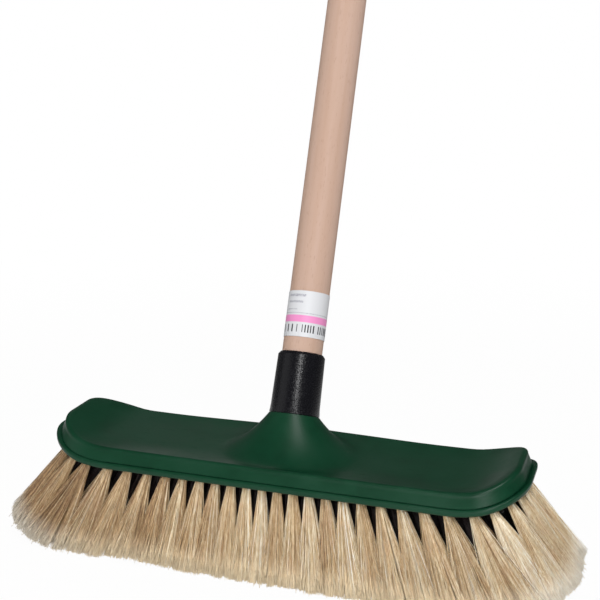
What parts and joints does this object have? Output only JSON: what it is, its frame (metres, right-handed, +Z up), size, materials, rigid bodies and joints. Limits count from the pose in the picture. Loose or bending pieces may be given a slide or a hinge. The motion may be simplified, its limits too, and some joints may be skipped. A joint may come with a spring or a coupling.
{
  "type": "push broom",
  "caption": "Indoor push broom: wooden handle leaning back from a dished green plastic head with fanned hair tufts, a black socket sleeve and a paper label.",
  "frame": {"origin": "middle of the flat face that the bristle tips form on the floor, under the middle of the head", "axes": "+X along the head towards its right end seen from the front, +Y backwards, the side the handle leans to, +Z up"},
  "size_m": [0.3494, 0.5702, 1.2664],
  "materials": {
    "beech_wood": "bare, fine sanded, slightly matt",
    "label_paper": "white coated paper with plain printed stripes",
    "black_plastic": "fine spark-eroded grain",
    "green_plastic": "satin moulded, soft highlights",
    "light_bristle": "blond natural hair, mixed shades",
    "dark_bristle": "dark natural hair"
  },
  "bodies": {
    "head": {"head_cover": "green_plastic", "tuft_plate": "green_plastic", "socket_sleeve": "black_plastic", "front_tuft_01": "light_bristle", "front_tuft_02": "light_bristle", "front_tuft_03": "light_bristle", "front_tuft_04": "light_bristle", "front_tuft_05": "light_bristle", "front_tuft_06": "light_bristle", "front_tuft_07": "light_bristle", "front_tuft_08": "light_bristle", "front_tuft_09": "light_bristle", "front_tuft_10": "light_bristle", "front_tuft_11": "light_bristle", "front_tuft_12": "light_bristle", "front_tuft_13": "light_bristle", "front_tuft_14": "light_bristle", "front_tuft_15": "light_bristle", "front_tuft_16": "light_bristle", "front_tuft_17": "light_bristle", "front_tuft_18": "light_bristle", "front_tuft_19": "light_bristle", "front_tuft_20": "light_bristle", "front_tuft_21": "light_bristle", "front_tuft_22": "light_bristle", "back_tuft_01": "light_bristle", "back_tuft_02": "light_bristle", "back_tuft_03": "light_bristle", "back_tuft_04": "light_bristle", "back_tuft_05": "light_bristle", "back_tuft_06": "light_bristle", "back_tuft_07": "light_bristle", "back_tuft_08": "light_bristle", "back_tuft_09": "light_bristle", "back_tuft_10": "light_bristle", "back_tuft_11": "light_bristle", "back_tuft_12": "light_bristle", "back_tuft_13": "light_bristle", "back_tuft_14": "light_bristle", "back_tuft_15": "light_bristle", "back_tuft_16": "light_bristle", "back_tuft_17": "light_bristle", "back_tuft_18": "light_bristle", "back_tuft_19": "light_bristle", "back_tuft_20": "light_bristle", "back_tuft_21": "light_bristle", "back_tuft_22": "light_bristle", "left_end_tufts": "light_bristle", "right_end_tufts": "light_bristle", "inner_tuft_row_1": "dark_bristle", "inner_tuft_row_2": "dark_bristle", "inner_tuft_row_3": "dark_bristle", "inner_tuft_row_4": "dark_bristle", "inner_tuft_row_5": "dark_bristle"},
    "stick": {"handle": "beech_wood", "handle_label": "label_paper"}
  },
  "joints": [
    {"name": "handle_pull", "type": "slide", "parent": "head", "child": "stick", "axis": [0, 0.3955, 0.9184], "range_m": [0, 0.05]}
  ]
}
